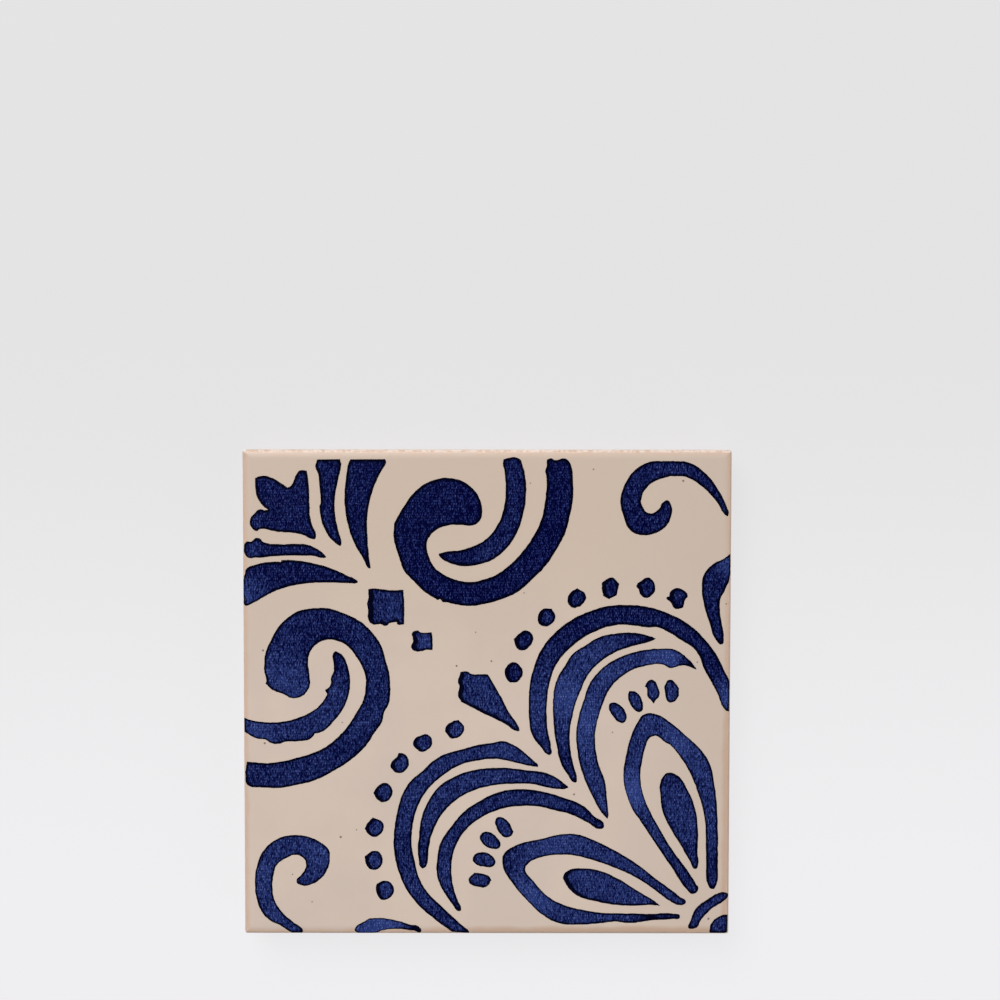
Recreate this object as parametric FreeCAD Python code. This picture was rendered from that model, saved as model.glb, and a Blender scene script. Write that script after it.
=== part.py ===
"""Azulejo wall tile: one pressed and fired earthenware square, glazed on its face and keyed on its back.

The tile lies on its back, face up. The origin is the centre of the back plane, +Z points out of the
glazed face, and +Y points to the edge that is uppermost once the tile is on a wall. Millimetres.
"""
import math
import os

import FreeCAD
import Part
from FreeCAD import Vector

# The pressed square
FACE_SIDE = 140.0      # edge to edge, the traditional azulejo module
THICKNESS = 14.0       # back plane to glazed face
EDGE_RADIUS = 0.7      # arris of the face and of the four corners, rounded by the glaze
BACK_CHAMFER = 0.5     # burr that the press leaves round the back, fettled off; less than EDGE_RADIUS

# The key slots in the back, which the bed of mortar or adhesive grips
KEY_MARGIN = 10.0      # plain border left round the slotted field
KEY_WIDTH = 10.0       # mouth of one slot
KEY_RIB = 5.0          # land between two slots
KEY_DEPTH = 1.2        # back plane to the floor of a slot
KEY_DRAFT = 30.0       # degrees that the slot walls lean, so the die pulls out


def pressed_square():
    """The plain slab: its face arris and its corners are rounded, and its back edge is chamfered."""
    half = FACE_SIDE / 2
    slab = Part.makeBox(FACE_SIDE, FACE_SIDE, THICKNESS, Vector(-half, -half, 0))
    rounded = slab.makeFillet(EDGE_RADIUS, [edge for edge in slab.Edges if not lies_at(edge, 0)])
    back_edges = [edge for edge in rounded.Edges if lies_at(edge, 0)]
    return rounded.makeChamfer(BACK_CHAMFER, back_edges)


def lies_at(edge, height):
    """True for an edge that lies wholly in the level plane at this height."""
    return all(abs(vertex.Z - height) < Part.Precision.confusion() for vertex in edge.Vertexes)


def obround(length, width, height):
    """A level wire with two straight sides along X and two round ends."""
    radius = width / 2
    straight = length / 2 - radius
    front_left = Vector(-straight, -radius, height)
    front_right = Vector(straight, -radius, height)
    back_left = Vector(-straight, radius, height)
    back_right = Vector(straight, radius, height)
    sides = [
        Part.LineSegment(front_left, front_right),
        Part.Arc(front_right, Vector(straight + radius, 0, height), back_right),
        Part.LineSegment(back_right, back_left),
        Part.Arc(back_left, Vector(-straight - radius, 0, height), front_left),
    ]
    return Part.Wire([side.toShape() for side in sides])


def key_slot():
    """The die for one slot: wide at the back plane and drawn in by its draft towards the floor."""
    length = FACE_SIDE - 2 * KEY_MARGIN
    drawn_in = 2 * KEY_DEPTH * math.tan(math.radians(KEY_DRAFT))
    mouth = obround(length, KEY_WIDTH, 0)
    floor = obround(length - drawn_in, KEY_WIDTH - drawn_in, KEY_DEPTH)
    return Part.makeLoft([mouth, floor], True, True)


def key_field():
    """Level slots side by side across the back, as many as fit inside the border, centred."""
    pitch = KEY_WIDTH + KEY_RIB
    count = int((FACE_SIDE - 2 * KEY_MARGIN + KEY_RIB) // pitch)
    lowest = -pitch * (count - 1) / 2
    die = key_slot()
    return [die.translated(Vector(0, lowest + row * pitch, 0)) for row in range(count)]


def azulejo_tile():
    """The whole tile: the rounded slab with the key slots pressed into its back."""
    return pressed_square().cut(key_field())


def main():
    os.makedirs("parts", exist_ok=True)
    tile = azulejo_tile()
    tile.exportStep("parts/azulejo_tile.step")
    box = tile.BoundBox
    print(f"azulejo_tile: {box.XLength:.2f} x {box.YLength:.2f} x {box.ZLength:.2f} mm")
    print(f"volume {tile.Volume / 1000:.1f} cm3, solids {len(tile.Solids)}, valid {tile.isValid()}")


main()
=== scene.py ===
# %% [markdown]
# # A painted azulejo tile
# An azulejo is a square of earthenware with a white or cream glaze, painted in cobalt blue before its last
# firing. The body of the tile comes from its CAD model and isn't changed here. This lesson gives that body
# its glaze and its bare clay, lays the blue painting on it as a thin film, and sets up a small studio.

# %% Load the tile
import math

import bmesh
import bpy
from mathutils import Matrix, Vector, noise
from mathutils.bvhtree import BVHTree


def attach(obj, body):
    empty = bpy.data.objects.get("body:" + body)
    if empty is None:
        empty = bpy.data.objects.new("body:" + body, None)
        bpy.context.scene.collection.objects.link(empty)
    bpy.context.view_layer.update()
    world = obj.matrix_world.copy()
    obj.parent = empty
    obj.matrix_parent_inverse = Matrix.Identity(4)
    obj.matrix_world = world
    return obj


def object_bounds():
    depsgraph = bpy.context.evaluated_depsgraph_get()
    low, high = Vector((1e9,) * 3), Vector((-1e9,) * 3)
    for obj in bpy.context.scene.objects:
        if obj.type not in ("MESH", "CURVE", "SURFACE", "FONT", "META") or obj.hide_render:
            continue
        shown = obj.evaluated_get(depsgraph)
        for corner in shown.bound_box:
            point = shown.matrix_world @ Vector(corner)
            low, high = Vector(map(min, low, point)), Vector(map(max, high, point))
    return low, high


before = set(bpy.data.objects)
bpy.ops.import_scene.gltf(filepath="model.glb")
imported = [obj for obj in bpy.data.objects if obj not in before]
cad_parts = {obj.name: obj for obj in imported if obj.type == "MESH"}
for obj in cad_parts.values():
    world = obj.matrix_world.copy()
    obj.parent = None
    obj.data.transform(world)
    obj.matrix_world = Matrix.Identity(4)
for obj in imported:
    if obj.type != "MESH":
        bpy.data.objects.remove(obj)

cad_low, cad_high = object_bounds()
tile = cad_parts["azulejo_tile"]
MM = 0.001  # m
HALF_SIDE = cad_high.x / MM
TOP = cad_high.z / MM
ARRIS = 0.7  # mm, radius of the rounded edge of the face, as in the CAD model
print(f"tile {2 * HALF_SIDE:.1f} mm square and {TOP:.1f} mm thick, {len(tile.data.polygons)} triangles")

# %% [markdown]
# ## Sums on sockets
# A finish is a network of nodes, and most of its nodes only add, multiply or compare. Made one by one and
# linked by hand, they hide the formula. So one small class stands for a socket. Python's own operators work
# on it and add Math nodes, and its `node` method adds any other kind.

# %% A socket that Python can reckon with
MIX_FACTOR, MIX_FIRST, MIX_SECOND, MIX_COLOUR = 0, 6, 7, 2  # sockets of a Mix node set to colours


class Wire:
    """One socket of a node tree. Operators on it add Math nodes, and node() adds any other kind."""

    def __init__(self, tree, socket=None):
        self.tree = tree
        self.socket = socket

    def node(self, kind, settings=None, sockets=None, output=0):
        """Add a node, with its settings first and then the values or links of its input sockets."""
        made = self.tree.nodes.new(kind)
        for name, setting in (settings or {}).items():
            setattr(made, name, setting)
        for name, value in (sockets or {}).items():
            if isinstance(value, Wire):
                self.tree.links.new(value.socket, made.inputs[name])
            else:
                made.inputs[name].default_value = value
        return Wire(self.tree, made.outputs[output] if made.outputs else None)

    def math(self, operation, first, second):
        return self.node("ShaderNodeMath", {"operation": operation}, {0: first, 1: second})

    def __add__(self, other):
        return self.math("ADD", self, other)

    def __sub__(self, other):
        return self.math("SUBTRACT", self, other)

    def __rsub__(self, other):
        return self.math("SUBTRACT", other, self)

    def __mul__(self, other):
        return self.math("MULTIPLY", self, other)

    def __abs__(self):
        return self.math("ABSOLUTE", self, 0)

    __radd__ = __add__

    def above(self, low, high):
        """0 up to low, 1 from high on, and a smooth rise between them."""
        return self.node("ShaderNodeMapRange", {"interpolation_type": "SMOOTHSTEP"},
                         {"Value": self, "From Min": low, "From Max": high})

    def tint(self, first, second):
        """The first colour where this is 0 and the second where it is 1."""
        colours = {MIX_FACTOR: self, MIX_FIRST: first, MIX_SECOND: second}
        return self.node("ShaderNodeMix", {"data_type": "RGBA"}, colours, MIX_COLOUR)

    def stretch(self, *factors):
        """A vector with each of its parts multiplied by a factor."""
        return self.node("ShaderNodeVectorMath", {"operation": "MULTIPLY"}, {0: self, 1: factors})

    def dots(self, part):
        """Scattered points about one unit apart: the Distance to the nearest one, or its chance Color."""
        return self.node("ShaderNodeTexVoronoi", {"voronoi_dimensions": "2D"},
                         {"Vector": self, "Scale": 1}, part)

    def cloud(self, grain, detail=2.0):
        """Soft noise, about 0.5 on average, whose lumps are about this many millimetres across."""
        return self.node("ShaderNodeTexNoise", {}, {"Vector": self, "Scale": 1 / grain, "Detail": detail})


def new_finish(name):
    """An empty material, and a wire to start its nodes from."""
    finish = bpy.data.materials.new(name)
    finish.use_nodes = True
    finish.node_tree.nodes.clear()
    return finish, Wire(finish.node_tree)


def millimetres(start):
    """The place on the object, in millimetres, from its Object coordinates."""
    place = start.node("ShaderNodeTexCoord", output="Object")
    return place.stretch(1 / MM, 1 / MM, 1 / MM)


def shade(red, green, blue):
    """A colour in the 0 to 255 steps of a screen, turned by the sRGB curve into a shader's linear one."""
    steps = [step / 255 for step in (red, green, blue)]
    linear = [step / 12.92 if step <= 0.04045 else ((step + 0.055) / 1.055) ** 2.4 for step in steps]
    return (*linear, 1.0)


print("half of a screen's steps is", round(shade(128, 128, 128)[0], 3), "of its light")

# %% [markdown]
# ## Places on the face
# Every place on the face is written in millimetres from its middle. The places were read off a picture of
# the tile, before it was clear how the camera stood, so they came out a little too wide, too tall and too
# high. One small function sets them straight.

# %% Set a place straight
SLIM = 0.9976  # true width over the width as it was read
UPRIGHT = 0.9911  # true height over the height as it was read
LOWER = 0.54  # mm by which every place was read too high


def set_straight(x, y):
    """The true place on the face, in millimetres, of one that was read off the picture."""
    return x * SLIM, y * UPRIGHT - LOWER


print("top left corner, set straight:", [round(part, 2) for part in set_straight(-HALF_SIDE, HALF_SIDE)])

# %% [markdown]
# ## Glaze and bare clay
# The face of the real tile is dipped in cream glaze, which flows over the rounded edge and down the sides,
# almost to the back. Below that, and on the back itself, the clay is bare. Two materials on two sets of
# faces would meet in a ruled line, so here one material mixes both by height, and noise makes the glaze end
# in an uneven line.

# %% Where the glaze is
GLAZE_ENDS = 2.2  # mm above the back, on average
GLAZE_WANDERS = 1.6  # mm from the lowest run to the highest
RUN_GRAIN = 7.0  # mm, about the width of one run
GLAZE_LIP = 0.25  # mm to each side of that line, where glaze turns into clay

glazed, start = new_finish("cream_glaze_on_clay")
place = millimetres(start)
axes = [place.node("ShaderNodeSeparateXYZ", {}, {0: place}, part) for part in ("X", "Y", "Z")]
across, along, height = axes
lowest_run = GLAZE_ENDS - GLAZE_WANDERS / 2
glaze_line = place.cloud(RUN_GRAIN, detail=3.0) * GLAZE_WANDERS + lowest_run
under_glaze = (height - glaze_line).above(-GLAZE_LIP, GLAZE_LIP)
print(f"the glaze ends between {lowest_run:.1f} and {lowest_run + GLAZE_WANDERS:.1f} mm up")

# %% [markdown]
# Glaze draws back from an edge while it melts. So it is thin on the arris, which is a mason's word for the
# edge between the face and a side, and the pink clay shows through it there. The thin band is wider towards
# the lower right corner.

# %% Where the glaze runs thin
THIN_REACH = 0.6  # mm in from the side, at the least
THIN_WANDERS = 1.6  # mm more, by noise
THIN_GRAIN = 5.0  # mm
THIN_CORNER = 0.8  # mm more in the lower right corner
CORNER_FROM, CORNER_TO = 20, 110  # mm, across less along: where that corner begins and where it is full
SIDE_FROM, SIDE_TO = 2.5, 0.6  # mm under the face, where the side gives way to the arris
FADES_FROM, FADES_TO = -0.9, 0.7  # mm about the reach, over which the thin glaze thickens
THIN_ON_ARRIS = 0.75  # share of the thin colour that shows
THIN_ON_SIDE = 0.35

from_side = HALF_SIDE - across.math("MAXIMUM", abs(across), abs(along))
lower_right = (across - along).above(CORNER_FROM, CORNER_TO)
thin_reach = place.cloud(THIN_GRAIN) * THIN_WANDERS + THIN_REACH + lower_right * THIN_CORNER
up_the_side = height.above(TOP - SIDE_FROM, TOP - SIDE_TO)
on_the_arris = (1 - (from_side - thin_reach).above(FADES_FROM, FADES_TO)) * THIN_ON_ARRIS
thin_glaze = up_the_side * on_the_arris + (1 - up_the_side) * THIN_ON_SIDE
print("thin glaze reaches", THIN_REACH, "mm or more in from the sides")

# %% [markdown]
# A few specks of iron come up in the firing. Each is a soft dot, made from the distance to its middle.

# %% Specks of iron in the glaze
SPECKS = [  # place on the face and radius, mm
    (-64.5, 13.0, 0.28), (-64.15, -14.1, 0.28), (-8.75, 8.55, 0.26), (1.3, 9.95, 0.24), (56.25, 62.3, 0.28),
    (25.2, -29.0, 0.26), (30.5, 65.6, 0.22), (-41.75, -8.0, 0.18), (-3.25, 18.35, 0.18), (10.65, 29.8, 0.18),
    (12.4, 61.6, 0.18), (68.8, 26.7, 0.2), (60.6, 9.7, 0.2), (36.25, -10.8, 0.18), (-56.3, -52.6, 0.18),
    (-50.65, -60.7, 0.18), (-37.7, -39.5, 0.18), (-42.3, -41.6, 0.3), (64.3, -65.6, 0.3),
]
SPECK_CORE, SPECK_RIM = 0.4, 1.6  # of the radius: full up to the core and gone at the rim

specks = 0
for spot_x, spot_y, radius in SPECKS:
    spot = (*set_straight(spot_x, spot_y), TOP)
    gap = place.node("ShaderNodeVectorMath", {"operation": "DISTANCE"}, {0: place, 1: spot}, "Value")
    specks = specks + (1 - gap.above(SPECK_CORE * radius, SPECK_RIM * radius))
print(len(SPECKS), "specks")

# %% [markdown]
# ## Colours of the tile
# Each colour is laid over the last with a mix, as a painter glazes: faint clouds first, then a darker,
# warmer tone towards the top edge and painted shade towards the right, then the thin glaze, a little darker
# as painted shade where the arris turns from the light, and the specks last. On the top edge a painted
# highlight lies on the thin glaze in ragged patches, where the light catches the rounded edge.

# %% Colour of the glaze
CREAM = shade(208, 190, 176)
CREAM_COOL = shade(203, 186, 173)
CREAM_WARM = shade(199, 180, 164)
# painted shade: the cream is darker towards the right edge, away from the lamp
CREAM_PAINTED_SHADE = shade(197, 180, 166)
# pink of the clay under thin glaze, made a little darker as painted shade where the arris turns from the
# light
THIN_AND_SHADED = shade(202, 170, 148)
THIN_LOW = shade(190, 158, 134)  # in the lower right corner
# painted highlight: pale patches where the light catches the rounded top edge
TOP_EDGE_HIGHLIGHT = shade(226, 210, 199)  # on the top edge
IRON = shade(66, 54, 52)
HAZE_GRAIN = 18.0  # mm
HAZE_FROM, HAZE_TO = 0.35, 0.65  # of the noise
WARM_FROM, WARM_TO = -10, 60  # mm along
PAINTED_SHADE_FROM, PAINTED_SHADE_TO = 20, 70  # mm across
PAINTED_SHADE_SHARE = 0.8
HIGHLIGHT_FROM, HIGHLIGHT_TO = 69.0, 69.7  # mm along
HIGHLIGHT_PATCH_GRAIN = 1.2  # mm
HIGHLIGHT_PATCH_FROM, HIGHLIGHT_PATCH_TO = 0.35, 0.6  # of the noise
IRON_SHARE = 0.85

cream = place.cloud(HAZE_GRAIN, detail=3.0).above(HAZE_FROM, HAZE_TO).tint(CREAM, CREAM_COOL)
cream = along.above(WARM_FROM, WARM_TO).tint(cream, CREAM_WARM)
# painted shade towards the right edge
cream = (across.above(PAINTED_SHADE_FROM, PAINTED_SHADE_TO) * PAINTED_SHADE_SHARE).tint(cream, CREAM_PAINTED_SHADE)
# painted highlight on the top edge, in ragged patches
highlight_patches = place.cloud(HIGHLIGHT_PATCH_GRAIN).above(HIGHLIGHT_PATCH_FROM, HIGHLIGHT_PATCH_TO)
painted_highlight = along.above(HIGHLIGHT_FROM, HIGHLIGHT_TO) * up_the_side * highlight_patches
thin = painted_highlight.tint(lower_right.tint(THIN_AND_SHADED, THIN_LOW), TOP_EDGE_HIGHLIGHT)
cream = thin_glaze.tint(cream, thin)
cream = (specks * IRON_SHARE).tint(cream, IRON)
print("cream", [round(part, 3) for part in CREAM])

# %% Colour of the clay
CLAY = shade(222, 190, 165)
CLAY_DARK = shade(200, 163, 134)
BLOTCH_GRAIN = 9.0  # mm
BLOTCH_FROM, BLOTCH_TO = 0.3, 0.7  # of the noise
BLOTCH_SHARE = 0.6
GRIT_GRAIN = 0.5  # mm
GRIT_FROM, GRIT_TO = 0.55, 0.75  # of the noise
GRIT_SHARE = 0.4

grit = place.cloud(GRIT_GRAIN, detail=3.0)
blotches = place.cloud(BLOTCH_GRAIN, detail=4.0).above(BLOTCH_FROM, BLOTCH_TO)
darker = blotches * BLOTCH_SHARE + grit.above(GRIT_FROM, GRIT_TO) * GRIT_SHARE
clay = darker.tint(CLAY, CLAY_DARK)
colour = under_glaze.tint(clay, cream)
print("grit of", GRIT_GRAIN, "mm in blotches of", BLOTCH_GRAIN, "mm")

# %% [markdown]
# ## Surface of the tile
# The glaze is smoother than the clay. Two Bump nodes in a row shape the light on it: the first rounds off
# the last few millimetres of the face, since melted glaze is softer at its edge than the solid under it, and
# the second adds the faint dimples of the glaze and the grit of the clay.

# %% Round the edge, add the dimples and finish the tile
SOFT_EDGE = 2.6  # mm in from the side, where the glaze begins to round off
SOFT_SLOPE = 0.35  # how steeply it falls at the very edge
PEEL_GRAIN = 1.3  # mm, size of a dimple
PEEL_SHARE = 0.35  # height of the dimples beside that of the grit
PEEL_HEIGHT = 0.1  # mm
CLAY_ROUGH = 0.85
GLAZE_SMOOTHER = 0.45
POLISH_GRAIN = 2.5  # mm
POLISH_VARIES = 0.06

to_edge = from_side.math("MAXIMUM", SOFT_EDGE - from_side, 0)
fall = to_edge * to_edge * (-SOFT_SLOPE / 2 / SOFT_EDGE)
rounded = start.node("ShaderNodeBump", {}, {"Strength": 1.0, "Distance": MM, "Height": fall})
peel = place.cloud(PEEL_GRAIN) * under_glaze * PEEL_SHARE + grit * (1 - under_glaze)
bumped = start.node("ShaderNodeBump", {}, {"Strength": 0.5, "Distance": PEEL_HEIGHT * MM,
                                           "Height": peel, "Normal": rounded})
polish = GLAZE_SMOOTHER + place.cloud(POLISH_GRAIN) * POLISH_VARIES
roughness = CLAY_ROUGH - under_glaze * polish
surface = start.node("ShaderNodeBsdfPrincipled", {},
                     {"Base Color": colour, "Roughness": roughness, "Normal": bumped})
start.node("ShaderNodeOutputMaterial", {}, {"Surface": surface})
tile.data.materials.clear()
tile.data.materials.append(glazed)
print("cream_glaze_on_clay:", len(glazed.node_tree.nodes), "nodes")

# %% [markdown]
# ## Laying the blue on the face
# The painter's blue is a coat a few hundredths of a millimetre thick. A picture on the face would be the
# quick way, but this tile has no pictures. So each brush mark is a thin film of its own outline. A Bezier
# curve runs through a few listed points, smooth at most of them and sharp at a `tip`. Noise then
# makes its edge wander a little. Blender seeds that noise by the clock, so a seed of our own keeps every run
# the same.

# %% Points, curve and outline
CURVE_STEPS = 6  # straight runs between two points of a curve
RAGGED = 0.12  # mm that the edge of a mark wanders, for want of a steady hand
RAGGED_GRAIN = 0.7  # mm from one wander to the next
SAME_HAND = 4  # seed of the noise
noise.seed_set(SAME_HAND)


def tip(x, y):
    """A point where the outline turns sharply."""
    return (x, y, "VECTOR")


def outline_of(points):
    """A flat bmesh, in millimetres, with the closed outline that runs through these points."""
    curve = bpy.data.curves.new("brush_mark", "CURVE")
    curve.dimensions = "2D"
    curve.fill_mode = "NONE"
    curve.resolution_u = CURVE_STEPS
    spline = curve.splines.new("BEZIER")
    spline.resolution_u = CURVE_STEPS
    spline.bezier_points.add(len(points) - 1)
    for knot, (x, y, *sharp) in zip(spline.bezier_points, points):
        knot.co = (*set_straight(x, y), 0)
        knot.handle_left_type = knot.handle_right_type = sharp[0] if sharp else "AUTO"
    spline.use_cyclic_u = True
    holder = bpy.data.objects.new("brush_mark", curve)
    flat = bpy.data.meshes.new_from_object(holder)
    bpy.data.objects.remove(holder)
    bpy.data.curves.remove(curve)
    mark = bmesh.new()
    mark.from_mesh(flat)
    bpy.data.meshes.remove(flat)
    for corner in mark.verts:
        wander = noise.noise_vector(corner.co / RAGGED_GRAIN) * RAGGED
        corner.co += Vector((wander.x, wander.y, 0))
    return mark


print("a mark's edge wanders by up to", RAGGED, "mm")

# %% [markdown]
# The outline is filled with one face, and its edge moves outward a little, as wet paint creeps. A fence of
# upright walls along that edge then serves to measure how far a place is from it.

# %% Fill the outline and fence it in
SPREAD = 0.065  # mm that the wet blue creeps outward
FENCE = 1  # mm that the walls rise above the face, and go down below it


def fill(mark):
    """Fill the outline with one face that looks up."""
    bmesh.ops.edgenet_fill(mark, edges=mark.edges[:])
    for face in mark.faces:
        if face.normal.z < 0:
            face.normal_flip()


def let_it_spread(mark):
    """Move the edge of a filled mark outward, all along it."""
    creeps = []
    for face in mark.faces:
        for loop in face.loops:
            onward = loop.link_loop_next.vert.co - loop.link_loop_prev.vert.co
            creeps.append((loop.vert, Vector((onward.y, -onward.x, 0)).normalized()))
    for corner, outward in creeps:
        corner.co += outward * SPREAD


def fence_of(mark):
    """Upright walls along the outline, for measuring how far a place is from the nearest edge."""
    walls = mark.copy()
    bmesh.ops.delete(walls, geom=walls.faces[:], context="FACES_ONLY")
    bmesh.ops.translate(walls, verts=walls.verts[:], vec=(0, 0, -FENCE))
    raised = bmesh.ops.extrude_edge_only(walls, edges=walls.edges[:])["geom"]
    upper = [part for part in raised if isinstance(part, bmesh.types.BMVert)]
    bmesh.ops.translate(walls, verts=upper, vec=(0, 0, 2 * FENCE))
    fence = BVHTree.FromBMesh(walls)
    walls.free()
    return fence


print("wet blue creeps outward by", SPREAD, "mm")

# %% [markdown]
# The one face of a mark is then sliced into small cells, so that it can bend over the rounded edge of the
# tile, and each corner of a cell is lifted on to the glaze.

# %% Slice a mark and bend it over the edge
CELL = 0.8  # mm, side of the cells that a mark is sliced into
SNAP = 0.02  # mm, a corner this near a slice is taken to lie on it
SLICES_ON_ARRIS = [HALF_SIDE - ARRIS * share for share in (1.0, 0.75, 0.5, 0.3)]
LIMIT = HALF_SIDE - 0.12  # mm from the centre, as far as the painter's blue goes over the edge
STEEPEST = 0.98  # of the arris, as far out on it as a corner goes
FLAT_TO = HALF_SIDE - ARRIS


def slice_into_cells(mark):
    """Cut a mark along a square lattice, and more closely where the tile's edge is rounded."""
    for axis in (0, 1):
        spots = [corner.co[axis] for corner in mark.verts]
        low, high = min(spots), max(spots)
        lattice = [step * CELL for step in range(math.ceil(low / CELL), math.floor(high / CELL) + 1)]
        lattice += [side * spot for spot in SLICES_ON_ARRIS for side in (-1, 1) if low < side * spot < high]
        way = Vector((axis == 0, axis == 1, 0))
        for spot in lattice:
            everything = mark.verts[:] + mark.edges[:] + mark.faces[:]
            bmesh.ops.bisect_plane(mark, geom=everything, dist=SNAP, plane_co=way * spot, plane_no=way)


def on_the_face(x, y):
    """The point of the glazed surface over this place: level inside, and round near the tile's edges."""
    x = max(-LIMIT, min(LIMIT, x))
    y = max(-LIMIT, min(LIMIT, y))
    over = Vector((max(0, abs(x) - FLAT_TO), max(0, abs(y) - FLAT_TO)))
    if over.length > ARRIS * STEEPEST:
        over.length = ARRIS * STEEPEST
        x = math.copysign(FLAT_TO + over.x, x) if over.x else x
        y = math.copysign(FLAT_TO + over.y, y) if over.y else y
    drop = ARRIS - math.sqrt(ARRIS ** 2 - over.length_squared)
    return Vector((x, y, TOP - drop)) * MM


print("cells of", CELL, "mm")

# %% [markdown]
# Each corner of a cell also keeps three values for the blue that comes later: how far it is from the edge of
# its mark, because the blue pools there and fires darker, how pale the brush left it, and how much wider the
# pool is.

# %% Paint one mark
NOT_ZERO = 0.05  # mm, the least distance to divide by
painting = bmesh.new()


def paint(name, paleness, points, touches=(), left_pool=0.0):
    """Add one brush mark to the painting.

    Paleness runs from 0, thick and nearly black, to 1, thin and light. A touch is a place where the brush
    ran dry or was just dipped: x, y, how far it reaches, and how much paler it is there. The blue pools
    along the whole edge of a mark, and on its left side left_pool millimetres wider.
    """
    mark = outline_of(points)
    fill(mark)
    let_it_spread(mark)
    fence = fence_of(mark)
    slice_into_cells(mark)
    edge_layer = mark.verts.layers.float.new("from_edge")
    pale_layer = mark.verts.layers.float.new("paleness")
    pool_layer = mark.verts.layers.float.new("pool")
    for corner in mark.verts:
        edge_place, _, _, distance = fence.find_nearest(corner.co)
        leftward = (corner.co.x - edge_place.x) / max(distance, NOT_ZERO)
        corner[edge_layer] = distance
        corner[pale_layer] = paleness
        for x, y, reach, paler in touches:
            nearness = max(0, 1 - math.dist(set_straight(x, y), corner.co.xy) / reach)
            corner[pale_layer] += paler * nearness ** 2 * (3 - 2 * nearness)
        corner[pool_layer] = left_pool * max(0, leftward)
        corner.co = on_the_face(corner.co.x, corner.co.y)
    cells = len(mark.faces)
    coat = bpy.data.meshes.new(name)
    mark.to_mesh(coat)
    painting.from_mesh(coat)
    mark.free()
    bpy.data.meshes.remove(coat)
    print(f"{name}: {len(points)} points, {cells} cells")


print("the painting has", len(painting.verts), "corners so far")

# %% [markdown]
# ## The lily and its fronds
# The pattern repeats over four tiles, and this tile holds one quarter of it. In its top left corner a small
# lily points at the corner, with two curved fronds on each side of it.

# %% Paint the lily and the fronds
paint("corner_lily", 0.15, [
    tip(-66.5, 63.0), (-64.2, 63.6), (-61.1, 62.7), tip(-57.2, 60.2), (-56.2, 60.75), (-54.0, 64.85),
    (-53.1, 65.25), tip(-51.8, 65.0), (-51.4, 62.9), (-51.0, 56.1), (-50.9, 52.7), (-50.2, 49.3),
    (-49.15, 46.5), tip(-49.3, 45.5), (-50.0, 45.4), (-52.5, 46.5), (-55.0, 47.1), (-60.0, 47.5),
    (-65.2, 48.25), (-66.0, 47.7), (-67.5, 48.7), (-68.1, 50.0), (-66.4, 53.1), (-65.0, 53.9),
    (-63.6, 53.6), tip(-62.8, 53.8), (-64.5, 55.3), (-65.6, 56.8), (-66.3, 59.3),
], touches=[(-67, 49, 6, 0.2)])
paint("frond_top_narrow", 0.15, [
    tip(-48.6, 68.35), tip(-42.2, 68.35), (-41.9, 67.0), (-42.7, 62.9), (-43.8, 56.1), (-43.5, 51.5),
    (-42.7, 47.5), (-41.9, 44.0), tip(-42.2, 43.4), (-43.8, 44.5), (-46.2, 47.5), (-48.0, 54.5),
    (-47.7, 56.1), (-48.0, 60.6), (-48.5, 64.7), (-49.05, 65.9), (-49.05, 67.1),
])
paint("frond_top_wide", 0.1, [
    tip(-39.2, 68.35), tip(-29.3, 68.35), (-29.0, 67.7), (-30.1, 65.6), (-32.6, 60.2), (-34.4, 52.45),
    (-34.4, 45.9), (-33.8, 39.0), tip(-33.5, 37.1), (-33.8, 36.9), (-35.8, 40.2), (-38.2, 44.5),
    (-39.9, 49.7), (-40.8, 55.6), (-40.6, 61.1), (-39.6, 67.45),
])
paint("frond_left_narrow", 0.2, [
    (-69.3, 44.4), (-67.7, 44.6), (-66.5, 45.5), (-65.3, 45.5), (-64.5, 44.6), (-60.0, 43.8), (-55.0, 43.9),
    (-52.2, 43.8), (-50.0, 43.1), (-46.5, 40.6), tip(-46.3, 40.1), (-47.7, 40.0), (-49.3, 40.5),
    (-52.7, 40.6), (-60.0, 40.5), (-66.5, 40.0), (-68.6, 40.0), (-69.5, 40.9), (-69.8, 42.7),
], touches=[(-68, 42, 7, 0.25)])
paint("frond_left_wide", 0.1, [
    (-69.3, 36.4), (-66.3, 37.9), (-62.2, 38.7), tip(-59.15, 38.7), tip(-59.05, 39.2), (-54.95, 39.15),
    (-49.95, 38.25), (-44.95, 36.9), (-39.95, 34.6), (-37.6, 33.5), (-37.25, 33.0), (-37.5, 32.7),
    (-40.0, 32.65), (-44.95, 32.85), (-51.5, 32.6), (-57.45, 31.55), (-61.8, 29.95), (-64.95, 28.2),
    (-69.05, 26.1), (-69.6, 26.2), (-69.95, 28.4), (-69.85, 34.3), (-69.4, 35.4),
], touches=[(-69, 29, 10, 0.7)])

# %% [markdown]
# ## The two great scrolls
# Each scroll is one stroke that starts in a round head, swings round and runs off the edge on to the next
# tile. A narrower crescent lies inside its hollow.

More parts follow.
